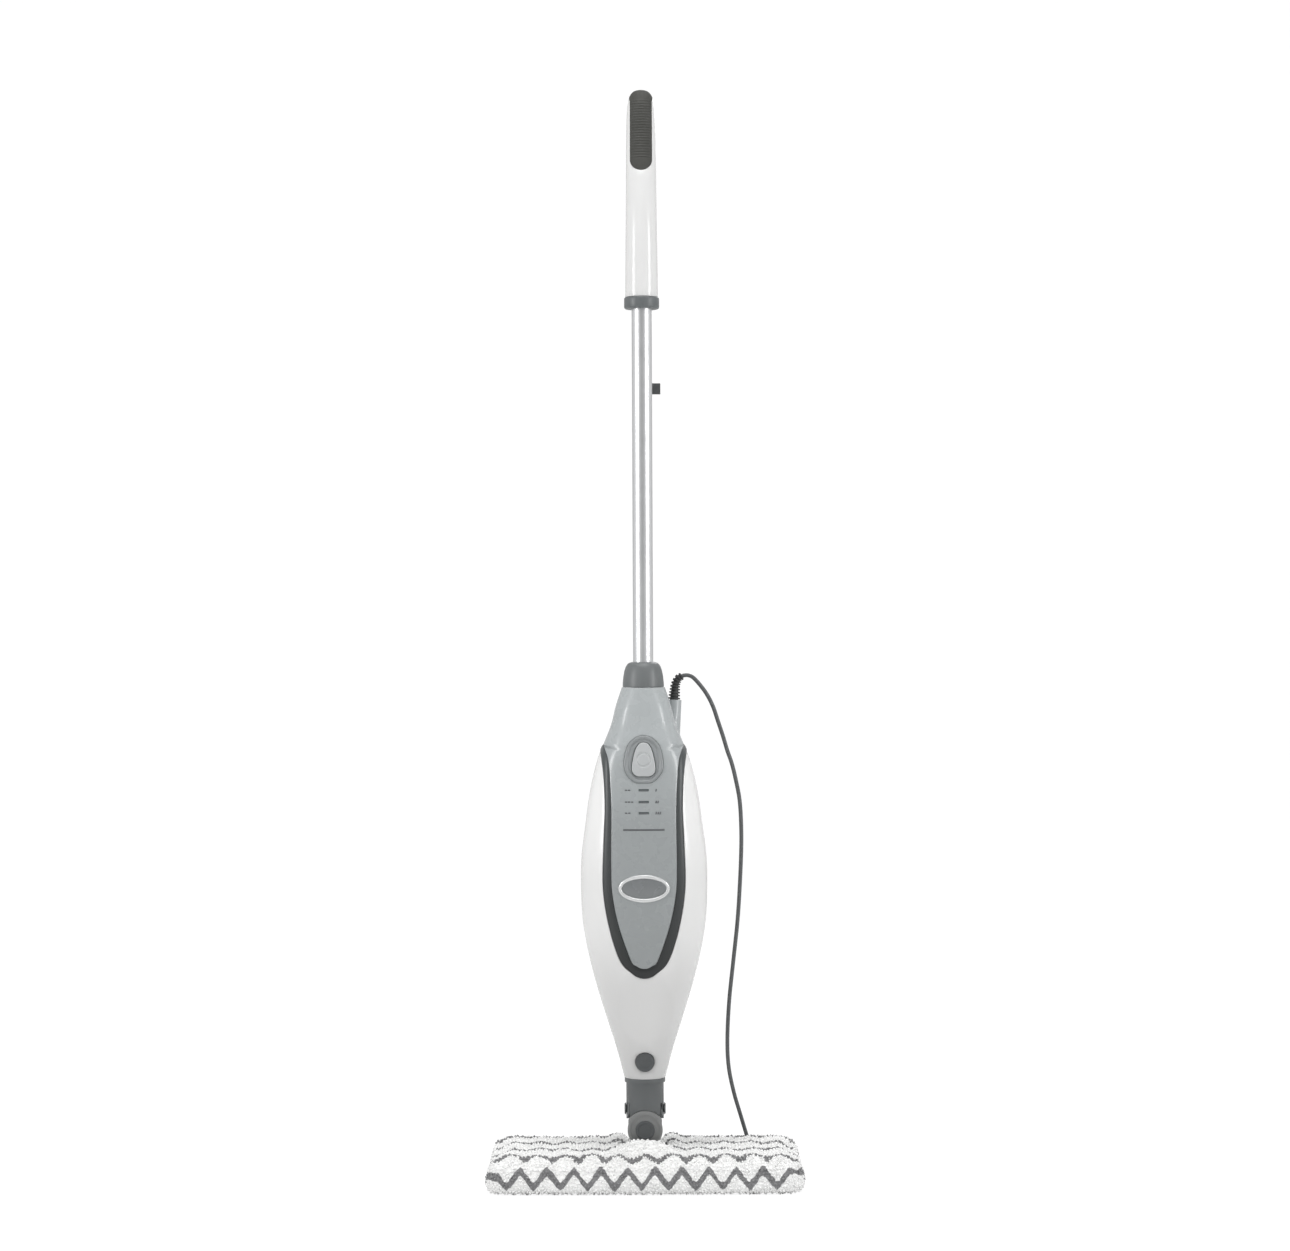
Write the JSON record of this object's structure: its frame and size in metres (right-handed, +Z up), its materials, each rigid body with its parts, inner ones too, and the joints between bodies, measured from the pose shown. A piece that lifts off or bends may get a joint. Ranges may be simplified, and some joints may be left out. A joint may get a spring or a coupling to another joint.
{
  "type": "steam mop",
  "caption": "Upright steam mop with a tapered casing, tube and curved handle on a two-way hinged rectangular head with a soft washable pad.",
  "frame": {"origin": "middle of the pad's underside, on the floor the mop stands on", "axes": "+Z up along the tube, -Y towards the front with the control panel, +X towards the side with the cord"},
  "size_m": [0.345, 0.2805, 1.206],
  "materials": {
    "white_plastic": "gloss moulded",
    "silver_plastic": "satin silver-grey moulded",
    "trim_plastic": "satin dark grey",
    "dark_plastic": "fine grained dark",
    "clear_plastic": "natural translucent",
    "soft_grip": "ribbed soft-touch",
    "rubber": "black moulded",
    "cord_jacket": "grey flexible jacket",
    "tube_metal": "drawn and anodised",
    "steel": "zinc plated",
    "cast_metal": "die cast",
    "board": "solder resist",
    "pad_cloth": "white chenille with grey zigzag"
  },
  "bodies": {
    "mop_body": {"front_shell": "white_plastic", "rear_shell": "white_plastic", "handle_front_shell": "white_plastic", "handle_rear_shell": "white_plastic", "front_housing": "silver_plastic", "rear_housing": "silver_plastic", "button_bezel": "silver_plastic", "rating_plate": "silver_plastic", "trim_band": "trim_plastic", "tube_collar": "trim_plastic", "handle_collar": "trim_plastic", "filler_neck": "trim_plastic", "lower_cord_hook": "trim_plastic", "badge_plate": "dark_plastic", "cord_hook_base": "dark_plastic", "neck_socket": "dark_plastic", "steam_switch": "dark_plastic", "pump": "dark_plastic", "mains_plug": "dark_plastic", "cord_tie": "dark_plastic", "indicator_lens_1": "clear_plastic", "indicator_lens_2": "clear_plastic", "indicator_lens_3": "clear_plastic", "water_tank": "clear_plastic", "handle_grip": "soft_grip", "feed_hose": "rubber", "delivery_hose": "rubber", "cord_strain_relief": "rubber", "power_cord": "cord_jacket", "cord_hank": "cord_jacket", "cord_tail": "cord_jacket", "handle_tube": "tube_metal", "casing_screw_1": "steel", "casing_screw_2": "steel", "casing_screw_3": "steel", "casing_screw_4": "steel", "filler_hinge_pin": "steel", "thermostat": "steel", "steam_pipe": "steel", "latch_spring": "steel", "heater_block": "cast_metal", "control_board": "board"},
    "steam_button": {"steam_button": "silver_plastic"},
    "head_release_button": {"head_release_button": "trim_plastic"},
    "cord_hook_arm": {"cord_hook_arm": "dark_plastic"},
    "filler_cap": {"filler_cap": "trim_plastic", "filler_seal": "rubber"},
    "neck": {"neck_sleeve": "trim_plastic", "neck_seal": "rubber", "pitch_pin": "dark_plastic"},
    "knuckle": {"swivel_knuckle": "trim_plastic", "roll_pin": "dark_plastic"},
    "mop_head": {"head_bracket": "dark_plastic", "head_base": "dark_plastic", "head_cover": "dark_plastic", "steam_manifold": "dark_plastic", "mop_pad": "pad_cloth"}
  },
  "joints": [
    {"name": "head_release", "type": "slide", "parent": "mop_body", "child": "neck", "axis": [0, 0, -1], "range_m": [0, 0.035]},
    {"name": "lean_hinge", "type": "hinge", "parent": "neck", "child": "knuckle", "pos_m": [0, 0, 0.081], "axis": [1, 0, 0], "range_deg": [0, 70]},
    {"name": "tip_hinge", "type": "hinge", "parent": "knuckle", "child": "mop_head", "pos_m": [0, 0, 0.06], "axis": [0, -1, 0], "range_deg": [-40, 40]},
    {"name": "steam_press", "type": "slide", "parent": "mop_body", "child": "steam_button", "axis": [0, 1, 0], "range_m": [0, 0.0015], "stiffness_N_per_m": 800},
    {"name": "release_press", "type": "slide", "parent": "mop_body", "child": "head_release_button", "axis": [0, 1, 0], "range_m": [0, 0.0022], "stiffness_N_per_m": 900},
    {"name": "cord_hook_swing", "type": "hinge", "parent": "mop_body", "child": "cord_hook_arm", "pos_m": [0, 0.02, 0.876], "axis": [0, 1, 0], "range_deg": [-90, 90]},
    {"name": "filler_cap_hinge", "type": "hinge", "parent": "mop_body", "child": "filler_cap", "pos_m": [0, 0.0565, 0.416], "axis": [1, 0, 0], "range_deg": [0, 110]}
  ]
}
